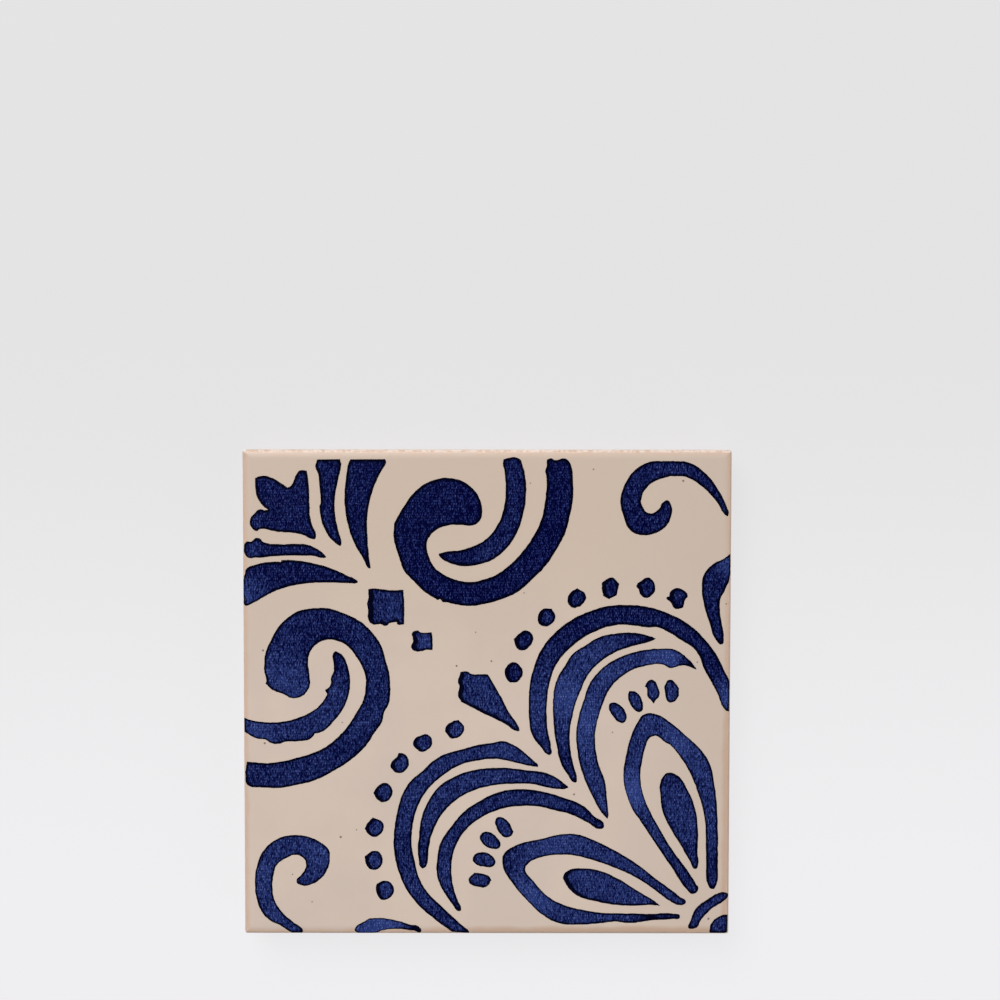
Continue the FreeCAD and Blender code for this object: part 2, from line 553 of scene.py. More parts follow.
# %% Paint the scrolls and their crescents
paint("scroll_top", 0.0, [
    (-15.0, 28.25), (-18.75, 30.85), (-21.1, 33.35), (-23.6, 36.0), (-25.1, 39.95), (-26.7, 45.6),
    tip(-26.6, 49.95), (-23.6, 55.2), (-19.5, 60.1), (-14.2, 62.7), (-10.0, 62.9), (-5.45, 61.1),
    (-2.3, 57.2), (-1.5, 52.5), (-1.9, 51.1), (-3.2, 49.8), (-4.5, 49.4), (-7.3, 49.5), (-10.9, 49.45),
    (-14.8, 48.0), (-17.2, 44.95), (-17.4, 43.1), (-16.8, 40.4), (-14.9, 36.9), (-12.05, 34.85),
    (-8.85, 33.5), (-5.0, 32.9), (-1.35, 33.5), (2.75, 35.05), (7.25, 38.5), (10.05, 41.55), (13.0, 45.65),
    (15.7, 51.3), (16.65, 56.1), (17.1, 62.9), (16.75, 65.4), (17.05, 66.1), tip(17.2, 68.3), (18.45, 68.7),
    (19.15, 68.25), (22.55, 68.55), (23.9, 67.0), (24.55, 62.45), (24.6, 57.7), (23.8, 52.7),
    (22.45, 47.45), (20.05, 42.7), (17.0, 38.0), (13.0, 33.8), (8.65, 30.05), (5.0, 28.35), (0.0, 26.75),
    (-5.0, 26.1), (-10.0, 26.75), (-11.8, 27.2), (-12.75, 27.2), (-13.5, 28.0), (-14.1, 27.8),
], touches=[(20, 50, 16, -0.1), (-24, 33, 6, 0.1)])
paint("crescent_top", 0.15, [
    tip(4.65, 68.25), (5.2, 68.55), (9.2, 68.6), (10.0, 67.0), (11.0, 62.9), (11.2, 60.0), (10.1, 51.8),
    (7.05, 44.7), (2.7, 40.2), (0.0, 38.8), (-6.5, 37.6), (-10.45, 38.4), (-13.6, 40.4), tip(-13.75, 41.1),
    (-11.6, 41.7), (-7.95, 42.1), (-2.95, 43.7), (0.0, 45.6), (2.7, 48.8), (4.8, 54.05), (5.4, 60.6),
    (5.0, 65.2), (4.65, 67.0),
], touches=[(8, 65, 8, 0.15), (1, 43, 9, 0.2), (-7, 39, 7, -0.15)])
paint("scroll_left", 0.35, [
    (-64.15, 7.9), (-63.6, 12.7), (-62.2, 15.85), (-59.95, 19.85), (-57.0, 22.7), (-54.25, 24.4),
    (-52.0, 24.95), (-48.6, 25.3), (-45.9, 25.2), (-41.45, 23.85), (-36.2, 21.2), (-33.3, 18.5),
    (-30.8, 14.95), (-29.3, 10.4), (-28.15, 6.0), (-27.95, 2.45), (-28.25, -2.1), (-29.65, -4.95),
    (-30.3, -7.65), (-32.6, -11.2), (-35.0, -14.8), (-40.0, -19.35), (-44.6, -22.3), (-49.9, -24.95),
    (-55.1, -26.25), (-60.05, -27.15), (-65.0, -26.95), (-69.15, -26.25), (-69.7, -23.2),
    tip(-69.25, -19.5), (-65.2, -19.95), (-59.95, -19.6), (-54.95, -18.45), (-49.95, -16.85),
    (-47.2, -15.6), (-43.35, -12.65), (-40.1, -9.1), (-37.6, -5.15), (-35.75, -1.85), (-34.95, 2.0),
    (-35.0, 5.4), (-36.0, 8.5), (-38.05, 11.9), (-39.9, 14.15), (-42.45, 15.65), (-45.85, 16.2),
    (-49.05, 14.95), (-51.1, 12.2), (-51.55, 10.1), (-51.1, 4.95), (-51.1, 2.9), (-52.25, 0.65),
    (-53.35, -0.25), (-56.3, -0.85), (-58.35, 0.2), (-61.8, 1.55), tip(-63.75, 3.35), (-63.5, 4.15),
    (-64.05, 6.65),
], touches=[(-56, 1, 13, 0.4), (-63, 9, 8, 0.2), (-46, 18, 11, -0.25), (-40, -17, 9, -0.1)])
paint("crescent_left", 0.5, [
    (-43.8, 12.7), (-44.1, 7.0), (-44.75, 5.4), (-45.3, 2.45), tip(-46.65, 1.45), (-46.1, 0.4),
    (-46.3, -0.4), (-48.15, -2.9), (-49.95, -4.5), (-54.25, -6.65), (-58.35, -7.75), (-62.45, -8.05),
    (-67.45, -7.55), tip(-69.95, -6.75), tip(-69.9, -10.75), (-67.0, -12.45), (-63.35, -13.25),
    (-62.7, -13.8), (-59.95, -14.25), (-58.6, -13.7), (-54.7, -13.45), (-50.85, -12.65), tip(-49.6, -11.15),
    (-47.2, -10.5), (-44.95, -8.35), (-42.2, -5.05), (-40.2, -0.95), (-39.45, 3.6), (-39.95, 7.45),
    (-41.75, 11.75), (-42.9, 12.45),
], touches=[(-67, -11, 8, 0.35), (-47, -5, 9, 0.1), (-43, 9, 8, -0.3)])

# %% [markdown]
# ## The squares and the kite on the diagonal
# The pattern is symmetrical about the diagonal from lily to rosette. Two squares and a kite mark it.

# %% Paint the squares and the kite
paint("square_large", 0.35, [
    tip(-34.05, 30.85), (-33.05, 31.0), (-27.15, 30.5), tip(-24.05, 30.65), (-23.85, 24.95),
    tip(-23.9, 20.75), (-25.75, 20.65), (-25.9, 21.2), (-27.8, 21.1), (-29.5, 20.2), (-30.3, 20.65),
    (-33.25, 20.85), (-34.3, 22.9), (-34.05, 24.3), (-34.4, 26.55), (-34.05, 28.35),
], touches=[(-27, 26, 6, 0.2)], left_pool=1.0)
paint("square_small", 0.5, [
    (-21.45, 18.25), (-20.75, 18.7), (-19.85, 18.75), (-19.3, 18.3), tip(-16.0, 18.25), (-15.65, 14.95),
    tip(-15.8, 13.25), (-17.8, 13.2), (-18.75, 12.9), (-20.75, 12.95), (-21.55, 13.5), (-21.75, 14.5),
    (-21.25, 15.5), (-21.4, 17.0),
], touches=[(-18, 16, 4, 0.15)], left_pool=0.9)
paint("kite", 0.55, [
    tip(-7.6, 6.75), (-5.45, 6.8), (-4.9, 6.3), tip(0.25, 6.1), (3.65, 0.2), (6.35, -4.95), (9.2, -9.5),
    (9.3, -10.25), (8.65, -10.4), (5.0, -8.2), (0.0, -5.75), (-3.4, -4.0), tip(-7.4, -1.85), (-8.3, 0.0),
    (-7.85, 2.45), (-8.3, 3.8), (-7.75, 6.0),
], left_pool=0.8)

# %% [markdown]
# ## The beads
# A row of dabbed dots follows each great ring of the rosette. No two are the same, so each has its own
# points. The first seven are over the upper petal, where the brush was fuller.

# %% Paint the beads
BEADS = [
    [(5.25, 7.3), (6.35, 9.05), (8.2, 9.55), (9.3, 8.6), (10.25, 7.0), (9.1, 4.25), (7.75, 3.75),
     (6.15, 4.25)],
    [tip(7.75, 16.3), (9.3, 17.9), (11.5, 18.8), (13.2, 16.75), (12.15, 14.25), (10.0, 13.1), (8.65, 13.8)],
    [(14.6, 22.2), (15.75, 24.85), tip(18.45, 25.2), (19.65, 22.9), (18.0, 20.5), (16.5, 20.15),
     (15.05, 20.85)],
    [(23.2, 27.45), (23.9, 29.7), tip(25.95, 31.1), (28.35, 29.05), (27.1, 26.3), tip(25.15, 25.45),
     (23.9, 26.1)],
    [tip(33.1, 32.8), (34.8, 33.95), (36.2, 34.15), tip(37.9, 32.45), tip(37.2, 29.15), tip(35.05, 28.1),
     tip(33.45, 29.05), (33.1, 30.85)],
    [(43.1, 32.0), (44.8, 33.6), (45.5, 34.15), (46.75, 34.1), (48.35, 31.45), (47.45, 29.3), (45.5, 28.5),
     (44.15, 29.5), (43.7, 30.85)],
    [(51.65, 28.35), tip(52.55, 28.7), tip(52.65, 29.95), (53.9, 31.05), (55.95, 30.9), (57.65, 28.8),
     (57.1, 28.15), tip(56.4, 25.75), (54.25, 25.25), (52.65, 27.45)],
    [(-11.95, -9.8), (-10.0, -7.75), tip(-8.2, -7.3), (-6.55, -9.6), (-7.75, -11.85), (-8.85, -12.45),
     (-10.25, -12.55), (-11.25, -11.65)],
    [(-21.25, -13.7), (-18.75, -11.7), (-17.0, -11.65), (-15.8, -13.8), (-17.6, -16.2), (-18.95, -16.5),
     (-20.3, -15.75)],
    [(-27.8, -20.5), (-25.75, -17.75), tip(-25.45, -17.0), (-23.95, -17.2), (-22.6, -19.3),
     (-23.25, -21.65), (-25.45, -22.75), (-26.9, -22.1)],
    [tip(-32.8, -28.6), (-31.45, -26.75), (-29.9, -25.75), (-28.3, -26.25), (-27.35, -28.3),
     (-28.3, -30.55), (-30.0, -31.25), (-31.45, -30.65)],
    [tip(-35.3, -39.1), (-34.55, -37.7), tip(-33.0, -35.9), (-30.15, -37.4), (-29.95, -39.0),
     (-30.65, -40.55), (-32.35, -41.5), (-34.05, -40.9)],
    [tip(-35.3, -47.3), (-32.75, -45.7), (-31.2, -46.1), (-30.25, -48.3), (-31.2, -50.65), (-32.85, -51.25),
     (-34.45, -50.4)],
    [(-32.1, -56.4), tip(-31.85, -55.4), (-29.35, -54.5), (-27.8, -55.2), (-27.0, -57.6), (-28.3, -59.5),
     (-30.15, -60.1), (-31.2, -59.4)],
]
UPPER_BEADS = 7
UPPER_BEAD_PALE, LEFT_BEAD_PALE = 0.25, 0.55
BEAD_POOL = 0.6  # mm

for count, bead in enumerate(BEADS, start=1):
    bead_pale = UPPER_BEAD_PALE if count <= UPPER_BEADS else LEFT_BEAD_PALE
    paint(f"bead_{count}", bead_pale, bead, left_pool=BEAD_POOL)

# %% [markdown]
# ## The rings of the rosette
# The bottom right corner is the middle of a big rosette. Three arches stand over each of its two petals
# here, each of them a crescent that thins to a point at the diagonal.

# %% Paint the rings over the upper petal
paint("ring_top", 0.15, [
    (18.35, -17.3), (17.3, -17.1), (15.95, -15.5), (14.8, -14.15), (13.0, -11.4), (12.25, -7.3),
    (12.1, -3.45), (12.3, 2.0), (13.5, 7.9), (15.5, 12.9), (20.05, 18.6), (25.25, 22.45), (30.05, 24.6),
    (35.05, 26.0), (40.0, 26.3), (46.65, 25.65), (50.7, 24.4), (56.85, 21.45), (61.85, 17.25),
    (66.65, 10.85), (68.45, 7.0), (69.8, 4.25), (69.85, 0.65), tip(69.85, -4.6), (68.8, -4.15),
    (66.4, 0.85), (64.5, 4.4), (62.3, 8.4), (61.4, 11.1), (59.8, 13.6), (56.65, 15.75), (52.55, 18.35),
    (48.9, 19.95), (46.65, 19.85), (42.55, 20.4), (36.85, 20.5), (30.05, 18.15), (24.8, 14.6), (20.5, 9.95),
    (18.1, 4.05), (17.35, -0.75), (17.15, -5.5), (17.55, -10.5), (18.45, -15.05),
], touches=[(16, -3, 22, 0.5), (70, -1, 10, 0.8), (62, 12, 9, -0.1)])
paint("crescent_top_mid", 0.5, [
    (25.95, -25.05), (25.55, -25.5), (23.35, -23.1), (21.4, -19.8), (20.3, -15.25), (19.35, -9.15),
    (19.1, -3.9), (19.35, 1.1), (20.4, 4.95), (22.55, 8.7), (25.0, 12.3), (28.25, 14.4), (32.3, 16.9),
    (37.55, 18.0), (42.55, 18.2), (46.85, 17.25), tip(48.55, 16.6), (46.85, 15.75), (42.55, 14.6),
    (37.55, 12.9), (33.0, 10.1), (29.15, 6.1), (27.1, 1.75), (25.4, -2.55), (24.5, -6.85), (23.9, -9.8),
    (24.0, -15.25), (24.8, -19.8), (26.0, -24.35),
], touches=[(23, -1, 11, 0.55), (29, 11, 9, 0.2), (46, 15, 10, -0.3), (22, -20, 10, -0.2)])
paint("crescent_top_inner", 0.6, [
    (35.05, -35.6), tip(34.9, -36.15), (33.2, -34.3), (30.6, -29.6), (28.2, -24.3), (26.65, -19.15),
    (26.2, -16.4), (25.85, -11.2), (26.5, -6.2), (28.0, -1.4), (28.9, 1.75), (31.2, 5.65), (35.05, 9.25),
    (40.0, 11.75), (45.05, 13.15), (50.95, 13.6), (53.7, 13.4), (56.85, 11.55), (59.9, 8.4),
    tip(60.4, 7.55), (57.1, 8.8), (55.25, 8.6), (52.75, 8.1), (50.95, 9.0), (48.9, 9.25), (45.05, 8.5),
    (42.55, 7.8), (38.6, 5.4), (36.2, 3.15), (34.15, -0.5), (32.3, -5.75), (31.3, -10.05), (31.3, -15.25),
    (32.45, -20.75), (34.0, -24.95), (34.55, -29.1), (35.05, -34.05),
], touches=[(29, -8, 11, 0.5), (36, 5, 8, 0.2), (51, 11, 9, 0.5), (58, 9, 4, -0.5)])

# %% Paint the rings over the left petal
paint("ring_left", 0.5, [
    (14.7, -20.25), tip(14.7, -20.9), (11.8, -20.5), (6.35, -19.15), (2.75, -18.55), (-2.25, -19.0),
    (-7.5, -20.25), (-12.5, -23.25), (-17.15, -27.55), (-20.0, -32.5), (-21.45, -37.7), (-21.8, -43.4),
    (-20.8, -49.4), (-19.5, -54.05), (-17.15, -57.95), (-12.2, -62.9), (-8.05, -66.9), (-5.2, -69.4),
    tip(-5.2, -69.8), tip(-10.1, -69.4), (-14.8, -66.0), (-20.0, -61.35), (-23.4, -56.65), (-25.7, -50.95),
    (-26.75, -46.0), (-26.75, -39.75), (-25.7, -33.5), (-24.15, -28.6), (-21.85, -25.05), (-18.65, -22.3),
    (-15.0, -18.9), (-11.35, -17.0), (-7.25, -15.95), (-2.25, -14.5), (2.15, -13.9), (4.2, -13.45),
    (7.25, -14.35), (10.95, -16.85), (13.9, -19.6),
], touches=[(6, -17, 9, 0.2), (-24, -46, 14, -0.15), (-14, -64, 9, -0.15)])
paint("crescent_left_mid", 0.5, [
    (-18.7, -50.8), (-19.75, -47.8), (-19.6, -41.3), (-18.7, -35.35), (-17.15, -31.7), (-14.0, -27.0),
    (-9.1, -23.75), (-4.9, -22.2), (0.0, -21.45), (4.95, -21.3), (10.5, -21.85), (18.4, -23.25),
    (22.3, -25.85), tip(23.6, -27.0), (21.8, -27.4), (17.1, -26.8), (13.2, -25.95), (7.55, -25.85),
    (2.35, -26.25), (-4.4, -28.05), (-9.6, -31.2), (-13.0, -34.8), (-15.6, -39.75), (-16.9, -44.95),
    (-17.55, -49.9), (-18.2, -50.65),
], touches=[(-18, -46, 12, -0.25), (0, -24, 9, 0.1)])
paint("crescent_left_inner", 0.45, [
    (-7.5, -63.0), (-7.9, -63.4), (-10.1, -61.05), (-12.7, -57.15), (-14.4, -52.75), (-14.15, -47.0),
    (-13.5, -43.65), (-9.85, -37.95), (-6.2, -33.8), (-2.3, -31.2), (1.6, -29.1), (6.0, -27.8),
    (11.5, -27.6), (15.8, -28.2), (21.0, -29.6), (28.3, -32.75), (30.9, -35.35), (33.85, -38.05),
    (33.1, -39.1), (29.3, -37.3), (24.65, -34.95), (19.7, -33.65), (14.75, -32.5), (8.05, -32.5),
    (2.85, -33.65), (-1.8, -35.85), (-5.95, -39.25), (-9.1, -44.2), (-10.25, -49.4), (-10.0, -54.85),
    (-8.8, -59.5),
], touches=[(28, -35, 12, -0.2), (2, -31, 7, -0.1), (-11, -52, 9, 0.1)])

# %% [markdown]
# ## The petals, their seeds and the heart of the rosette
# Each petal is a broad outline round a solid heart, with four seeds beside its round end.

# %% Paint the petals
paint("petal_top", 0.6, [
    (39.5, -24.7), (40.15, -18.0), (41.65, -12.1), (43.45, -8.0), (45.5, -5.5), (48.9, -5.6), (53.0, -8.0),
    (57.3, -11.65), (61.4, -15.6), (64.15, -19.6), (65.8, -26.75), (66.55, -33.5), (66.85, -43.4),
    (66.85, -49.9), (66.6, -55.1), (65.4, -56.8), (64.1, -55.35), (63.6, -49.4), (63.4, -40.8),
    (62.95, -35.6), (61.15, -28.6), (58.5, -22.2), (54.7, -16.3), (53.25, -14.7), (51.2, -13.45),
    (48.9, -11.75), (47.1, -12.3), (45.75, -15.05), (44.7, -19.6), (44.3, -24.5), (45.55, -30.4),
    (49.45, -38.2), (53.6, -45.2), (57.75, -50.95), (60.6, -55.35), (61.25, -56.65), (59.85, -58.2),
    (57.75, -56.65), (54.1, -51.2), (48.9, -43.4), (44.75, -37.15), (41.9, -32.75), (40.1, -27.8),
], touches=[(42, -28, 9, 0.8), (55, -14, 8, 0.35), (55, -50, 13, -0.25), (65, -50, 13, -0.25)])
paint("petal_top_heart", 0.55, [
    (51.25, -23.4), (52.05, -22.75), (55.05, -23.5), (57.75, -27.3), (60.1, -33.0), (61.0, -39.75),
    (61.0, -46.5), (61.15, -49.35), (60.5, -50.8), (58.8, -48.45), (56.2, -43.9), (53.35, -39.25),
    (50.75, -33.5), (50.2, -28.85), (50.1, -25.85),
], touches=[(53, -25, 4, -0.2), (60, -46, 7, -0.2)])
paint("petal_left", 0.6, [
    tip(4.55, -47.15), (6.0, -45.45), (10.0, -43.45), (15.55, -42.2), (20.5, -41.0), (25.95, -40.8),
    (30.9, -42.5), (37.1, -45.6), (43.2, -49.35), (49.2, -54.05), (55.7, -59.0), (57.6, -60.8),
    (55.95, -61.5), (53.1, -60.3), (48.4, -56.8), (42.4, -52.9), (37.4, -50.65), (31.4, -48.45),
    (25.15, -46.9), (19.7, -46.75), (15.8, -47.4), (12.15, -49.1), (11.1, -50.95), (13.45, -54.55),
    (17.6, -59.0), (22.3, -61.6), (28.3, -63.15), (34.5, -64.0), (41.8, -64.1), (47.1, -64.25),
    (53.6, -64.15), (56.0, -65.0), (53.6, -65.6), (47.6, -66.0), (41.9, -66.8), (36.85, -66.4),
    (32.95, -66.85), (25.95, -67.3), (21.0, -66.9), (16.6, -64.7), (11.1, -59.5), (8.05, -55.8),
    (4.95, -51.05), (4.55, -49.1),
], touches=[(20, -44, 11, 0.3), (13, -60, 9, 0.45), (6, -48, 6, -0.35), (48, -66, 13, -0.3)])
paint("petal_left_heart", 0.6, [
    (22.15, -53.15), (24.1, -51.2), (27.25, -50.8), (31.9, -51.3), (37.9, -53.8), (43.2, -57.15),
    (48.4, -60.3), tip(50.2, -61.7), (47.1, -61.45), (42.15, -61.7), (36.6, -61.35), (31.4, -60.4),
    (26.7, -59.0), (23.6, -56.4), (22.55, -54.55),
], left_pool=1.0)

# %% Paint the seeds
SEEDS = [
    [(35.6, -2.3), (38.0, -2.65), (40.05, -5.25), (40.15, -6.85), (39.7, -7.8), (38.45, -7.9),
     (36.2, -5.75), (35.25, -3.7)],
    [tip(41.05, 1.2), (42.75, 1.05), (44.7, -1.65), (44.6, -4.5), (43.8, -4.85), (41.65, -3.0),
     (40.75, -0.25)],
    [tip(45.6, 2.7), (46.4, 4.05), (47.75, 4.5), (49.35, 2.0), (49.7, 0.2), (48.45, -1.65), tip(48.2, -2.3),
     (46.4, -0.25), (46.05, 2.25)],
    [(51.3, 2.7), (52.75, 4.55), (54.25, 3.5), tip(55.3, 2.0), (54.8, -0.95), (52.55, -1.9), (51.4, 1.1)],
    [(2.5, -36.65), (3.4, -35.75), (6.0, -36.9), tip(7.6, -40.0), (7.05, -41.05), (5.45, -41.65),
     (3.9, -40.55), (2.85, -38.7)],
    [(-1.8, -41.05), (0.15, -40.05), (3.25, -42.25), (3.9, -43.65), (3.5, -44.7), (2.1, -45.05),
     (-1.55, -42.9)],
    [(-3.6, -46.9), (-1.8, -46.1), (0.3, -46.4), (2.4, -48.6), (1.85, -50.0), (-0.25, -50.3), (-3.85, -48.7)],
    [tip(-3.6, -52.1), (-1.8, -52.35), (0.3, -53.0), tip(1.35, -54.2), (-0.25, -56.15), (-2.05, -56.25),
     (-5.2, -54.55)],
]
SEED_PALE = 0.55

for count, seed in enumerate(SEEDS, start=1):
    paint(f"seed_{count}", SEED_PALE, seed)

# %% Paint the heart of the rosette in the corner
paint("rosette_ring", 0.5, [
    (58.55, -68.2), (59.2, -66.0), (60.6, -62.65), (63.45, -60.3), (66.85, -58.2), (68.4, -57.8),
    (69.7, -58.15), (69.85, -58.85), (68.4, -60.4), (64.75, -62.9), (61.9, -66.25), (60.9, -68.1),
    (59.05, -68.5),
])
paint("rosette_eye", 0.5, [
    tip(64.65, -69.7), (64.75, -68.6), (65.15, -67.05), (66.35, -65.6), (67.9, -64.7), tip(69.8, -64.3),
    tip(69.8, -68.6), (69.5, -69.5), tip(68.6, -69.8),
])

# %% [markdown]
# ## The strokes that belong to the next tiles
# Two small scrolls curl in the other corners, and two petals are cut by the edge: their other halves are on
# the tiles beside this one.

# %% Paint the small scrolls and the cut petals
paint("scroll_corner_right", 0.2, [
    (47.5, 67.9), (50.45, 67.95), (53.9, 67.95), (57.3, 67.7), (62.05, 64.95), (66.1, 59.95), (68.75, 54.7),
    (69.3, 52.7), (68.9, 52.2), (68.2, 52.7), (65.9, 56.3), (61.8, 60.6), (57.6, 63.25), (55.2, 63.7),
    (51.8, 63.5), (47.7, 62.0), (45.9, 60.6), (44.2, 57.0), (44.5, 54.95), (46.7, 52.8), (49.2, 54.05),
    (50.7, 56.3), (51.6, 56.7), (52.8, 55.2), (52.9, 52.7), (50.9, 48.8), (46.8, 46.8), (44.3, 46.65),
    (41.1, 48.1), (39.1, 52.45), (38.3, 56.5), (39.3, 60.6), (42.0, 64.95), (44.5, 66.8),
], touches=[(43, 49, 7, -0.15), (53, 66, 7, 0.2), (69, 53, 8, 0.4)])
paint("scroll_corner_bottom", 0.6, [
    tip(-56.65, -69.8), (-59.5, -67.85), (-63.15, -65.9), (-65.25, -63.55), (-66.65, -59.75),
    (-67.1, -54.85), (-66.4, -49.65), (-64.45, -45.45), (-61.1, -42.5), (-57.2, -41.2), (-52.25, -41.5),
    (-48.6, -43.0), (-45.9, -45.2), (-45.5, -47.05), (-46.25, -51.2), (-48.6, -54.2), (-51.2, -55.6),
    (-53.8, -55.75), (-55.15, -54.55), (-53.8, -52.9), (-52.4, -50.65), (-52.4, -48.85), (-54.05, -47.05),
    (-55.35, -46.75), (-57.95, -47.7), (-60.8, -49.75), (-61.75, -52.25), (-62.15, -56.4), (-61.45, -60.55),
    (-59.25, -63.95), (-56.4, -66.55), (-53.4, -69.25), tip(-53.8, -69.8),
], touches=[(-48, -46, 7, 0.2), (-64, -55, 8, 0.1)])
paint("petal_cut_right", 0.2, [
    tip(69.85, 41.2), (68.2, 39.85), (65.05, 38.25), (62.3, 34.95), (61.8, 31.75), (62.3, 27.2),
    (63.9, 21.75), (65.95, 16.3), (67.55, 14.95), (68.1, 16.75), (67.3, 22.0), (67.05, 27.9),
    (68.45, 30.85), (69.7, 34.25),
], touches=[(70, 39, 8, 0.7)])
paint("petal_cut_bottom", 0.85, [
    (-38.05, -69.4), (-38.15, -68.5), (-35.6, -66.55), (-34.3, -65.8), (-32.2, -65.5), (-27.3, -66.0),
    (-22.1, -67.45), (-20.0, -67.95), (-19.1, -69.4), (-21.3, -69.1), (-25.7, -68.6), (-30.4, -69.1),
    (-31.95, -69.65),
], touches=[(-31, -67, 9, 0.3), (-20, -69, 6, -0.6)])

# %% [markdown]
# ## From flat marks to a coat of paint
# The marks are still sheets with no thickness. Solidify gives the coat its few hundredths of a millimetre,
# half of it sunk in the glaze, because on the real tile the blue melts in. Edges sharper than a limit are
# then marked sharp, so that the coat's face is shaded smoothly and its rim isn't.

# %% Give the coat its thickness
COAT = 0.06  # mm
WELD = 0.002  # mm, corners nearer than this become one
SHARP = math.radians(40)

bmesh.ops.remove_doubles(painting, verts=painting.verts[:], dist=WELD * MM)
painting.normal_update()
for corner in painting.verts:
    corner.co += corner.normal * (COAT / 2 * MM)
bmesh.ops.solidify(painting, geom=painting.faces[:], thickness=COAT * MM)
painting.normal_update()
for face in painting.faces:
    face.smooth = True
for edge in painting.edges:
    edge.smooth = edge.calc_face_angle(0) < SHARP
coat_mesh = bpy.data.meshes.new("cobalt_painting")
painting.to_mesh(coat_mesh)
volume = painting.calc_volume(signed=True)
painting.free()
film = bpy.data.objects.new("cobalt_painting", coat_mesh)
bpy.context.scene.collection.objects.link(film)
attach(film, "root")
print(f"cobalt_painting: {len(coat_mesh.polygons)} faces, {volume / MM ** 3:.0f} mm3 of blue")

# %% [markdown]
# ## Cobalt blue
# Cobalt paint is grainy. It was brushed over a rough unfired glaze, so fine light flecks and streaks show in
# it, along the track of the brush's hairs. It is nearly black along the edges of a stroke, where it pooled.
# The three values that each mark carries, its distance from the edge, its paleness and its pool, drive the
# mix, and noise does the rest.

# %% Grain of the blue
FLECK_WIDE = 0.24  # mm, across the track of a hair of the brush
FLECK_LONG = 0.75  # mm, along it
FLECK_FROM, FLECK_TO = 0.1, 0.55  # flecks from the middle of one to its rim
BRIGHT_FROM, BRIGHT_TO = 0.45, 0.85  # of the chance values: which flecks show
STREAK_GRAIN = 1.2  # flecks
STREAK_LEVEL = 0.56  # of the noise
STREAK_CONTRAST = 3.0
WASH_GRAIN = 5.0  # mm
WASH_LEVEL = 0.5  # of the noise
WASH_CONTRAST = 0.25

cobalt, start = new_finish("cobalt_blue")
place = millimetres(start)
from_edge = start.node("ShaderNodeAttribute", {"attribute_name": "from_edge"}, output="Fac")
paleness = start.node("ShaderNodeAttribute", {"attribute_name": "paleness"}, output="Fac")
pool = start.node("ShaderNodeAttribute", {"attribute_name": "pool"}, output="Fac")
bristles = place.stretch(1 / FLECK_WIDE, 1 / FLECK_LONG, 1)
bright = bristles.dots("Color").above(BRIGHT_FROM, BRIGHT_TO)
flecks = (1 - bristles.dots("Distance").above(FLECK_FROM, FLECK_TO)) * bright
streaks = (bristles.cloud(STREAK_GRAIN, detail=1.0) - STREAK_LEVEL) * STREAK_CONTRAST
wash = (place.cloud(WASH_GRAIN, detail=3.0) - WASH_LEVEL) * WASH_CONTRAST
thinness = paleness + wash + streaks
print("flecks of", FLECK_WIDE, "by", FLECK_LONG, "mm")

# %% Mix the blue
POOLED = shade(0, 1, 18)
THICK_DARK = shade(0, 2, 44)
THICK_LIGHT = shade(46, 58, 124)
THIN_DARK = shade(42, 57, 116)
THIN_LIGHT = shade(95, 112, 175)
RIM = 0.45  # mm, least width of the dark rim of a thick mark
RIM_GRAIN = 1.6  # mm
RIM_WANDERS = 0.6  # mm more, by noise
RIM_NARROWS = 0.4  # mm less on a thin mark
RIM_FROM, RIM_TO = -0.15, 0.25  # mm about that width, over which the rim ends
RIM_SHARE = 0.95
FLECK_HEIGHT = 0.1  # mm
BLUE_ROUGH = 0.25
FLECK_SMOOTHER = 0.05

body = flecks.tint(thinness.tint(THICK_DARK, THIN_DARK), thinness.tint(THICK_LIGHT, THIN_LIGHT))
rim_width = place.cloud(RIM_GRAIN) * RIM_WANDERS + RIM - paleness * RIM_NARROWS + pool
pooled = 1 - (from_edge - rim_width).above(RIM_FROM, RIM_TO)
blue = (pooled * RIM_SHARE).tint(body, POOLED)
bumped = start.node("ShaderNodeBump", {},
                    {"Strength": 0.1, "Distance": FLECK_HEIGHT * MM, "Height": flecks})
roughness = BLUE_ROUGH - flecks * FLECK_SMOOTHER
surface = start.node("ShaderNodeBsdfPrincipled", {},
                     {"Base Color": blue, "Roughness": roughness, "Normal": bumped,
                      "Specular IOR Level": 0.1})
start.node("ShaderNodeOutputMaterial", {}, {"Surface": surface})
film.data.materials.append(cobalt)
print("cobalt_blue:", len(cobalt.node_tree.nodes), "nodes")

# %% [markdown]
# ## Floor
# The tile lies on a plain floor. Its colour is painted a little paler towards the lower edge of the picture,
# as painted light. For the camera it mostly glows by itself, to look evenly pale, and is lit a little, to
# keep the tile's shadow.

# %% Lay the floor
FLOOR_SIDE = 8.0  # m
FLOOR_FAR_PAINTED_DIM = shade(228, 227, 228)
FLOOR_NEAR_PAINTED_LIT = shade(239, 238, 240)
PAINTED_LIGHT_FROM, PAINTED_LIGHT_TO = 0.12, -0.07  # m along the floor, where it starts to pale and where it is palest
GLOWING = 0.9  # share of the glow in what the camera sees

sheet = bmesh.new()
bmesh.ops.create_grid(sheet, x_segments=1, y_segments=1, size=FLOOR_SIDE / 2)
floor_mesh = bpy.data.meshes.new("floor")
sheet.to_mesh(floor_mesh)
sheet.free()
floor = bpy.data.objects.new("floor", floor_mesh)
bpy.context.scene.collection.objects.link(floor)
paper, start = new_finish("floor_paper")
spot = start.node("ShaderNodeTexCoord", output="Object")
far = start.node("ShaderNodeSeparateXYZ", {}, {0: spot}, "Y").above(PAINTED_LIGHT_TO, PAINTED_LIGHT_FROM)
